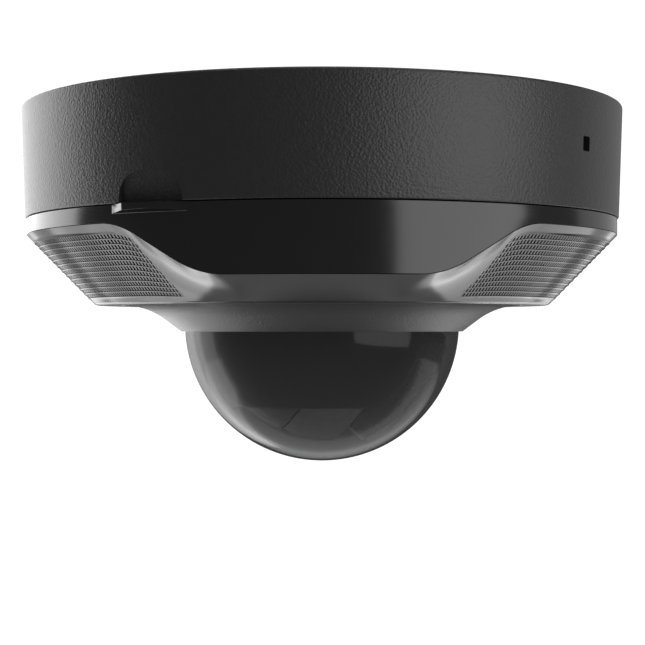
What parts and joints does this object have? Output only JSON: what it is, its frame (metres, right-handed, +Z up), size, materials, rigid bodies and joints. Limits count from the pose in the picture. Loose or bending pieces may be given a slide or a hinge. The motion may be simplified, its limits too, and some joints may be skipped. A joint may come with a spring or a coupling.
{
  "type": "dome cctv camera",
  "caption": "Round ceiling dome camera: drum housing, pull-off cover with perforated slopes and smoked dome, and an aimable eyeball lens.",
  "frame": {"origin": "centre of the flat face that lies against the ceiling", "axes": "+Z points up into the ceiling and the camera hangs below it; -Y is the front in the picture and +X is its right, the side the lens points to at rest"},
  "size_m": [0.12, 0.12, 0.0702],
  "materials": {
    "housing_plastic": "fine pebble texture, satin black",
    "cover_gloss": "smooth semi-gloss black",
    "grille_plastic": "smooth satin black with fine perforation",
    "trim_plastic": "fine texture, satin black",
    "smoked_dome": "polished smoked polycarbonate",
    "liner_black": "smooth satin black",
    "ball_texture": "pebble texture, black",
    "bezel_black": "satin black",
    "lens_glass": "coated optical glass",
    "inner_nylon": "moulded nylon",
    "black_rubber": "soft rubber",
    "pad_grey": "soft gap filler",
    "screen_steel": "blackened woven screen",
    "plated_steel": "zinc plated",
    "screw_steel": "nickel plated",
    "circuit_board": "green solder mask",
    "chip_black": "moulded epoxy"
  },
  "bodies": {
    "housing": {"base_housing": "housing_plastic", "cable_grommet": "black_rubber", "standoff_1": "plated_steel", "standoff_2": "plated_steel", "standoff_3": "plated_steel", "chassis_screw_1": "screw_steel", "chassis_screw_2": "screw_steel", "chassis_screw_3": "screw_steel", "main_board": "circuit_board", "chassis_plate": "plated_steel", "processor_chip": "chip_black", "thermal_pad": "pad_grey", "ribbon_connector": "inner_nylon", "microphone": "plated_steel", "ethernet_socket": "plated_steel", "card_slot": "plated_steel", "button_housing": "plated_steel", "gimbal_ring": "inner_nylon"},
    "cover": {"cover_band": "cover_gloss", "grille_ring": "grille_plastic", "vent_screen_left": "screen_steel", "vent_screen_right": "screen_steel", "release_latch": "inner_nylon", "trim_ring": "trim_plastic", "dome_bubble": "smoked_dome", "dome_gasket": "black_rubber", "dome_retainer": "inner_nylon", "retainer_screw_1": "screw_steel", "retainer_screw_2": "screw_steel", "retainer_screw_3": "screw_steel", "cover_gasket": "black_rubber"},
    "pan": {"pan_ring": "inner_nylon", "liner": "liner_black", "tilt_pivot_front": "plated_steel", "tilt_pivot_rear": "plated_steel"},
    "tilt": {"ball_rear_shell": "liner_black"},
    "lens": {"ball_front_shell": "ball_texture", "lens_bezel": "bezel_black", "lens_barrel": "bezel_black", "lens_holder": "inner_nylon", "front_lens": "lens_glass", "lens_ring": "bezel_black", "sensor_board": "circuit_board", "image_sensor": "chip_black"},
    "card": {"memory_card": "chip_black"},
    "button": {"reset_button": "inner_nylon"}
  },
  "joints": [
    {"name": "cover_slide", "type": "slide", "parent": "housing", "child": "cover", "axis": [0, 0, -1], "range_m": [0, 0.05]},
    {"name": "pan_turn", "type": "hinge", "parent": "housing", "child": "pan", "pos_m": [0, 0, -0.0425], "axis": [0, 0, 1], "range_deg": [-175, 175]},
    {"name": "tilt_turn", "type": "hinge", "parent": "pan", "child": "tilt", "pos_m": [0, 0, -0.0425], "axis": [0, 1, 0], "range_deg": [-13, 52]},
    {"name": "lens_roll", "type": "hinge", "parent": "tilt", "child": "lens", "pos_m": [0, 0, -0.0425], "axis": [0.788, 0, -0.6157], "range_deg": [-90, 90]},
    {"name": "card_slide", "type": "slide", "parent": "housing", "child": "card", "axis": [-1, 0, 0], "range_m": [0, 0.012]},
    {"name": "button_press", "type": "slide", "parent": "housing", "child": "button", "axis": [0, 0, 1], "range_m": [0, 0.0004], "stiffness_N_per_m": 400, "springref_m": -0.0005}
  ]
}
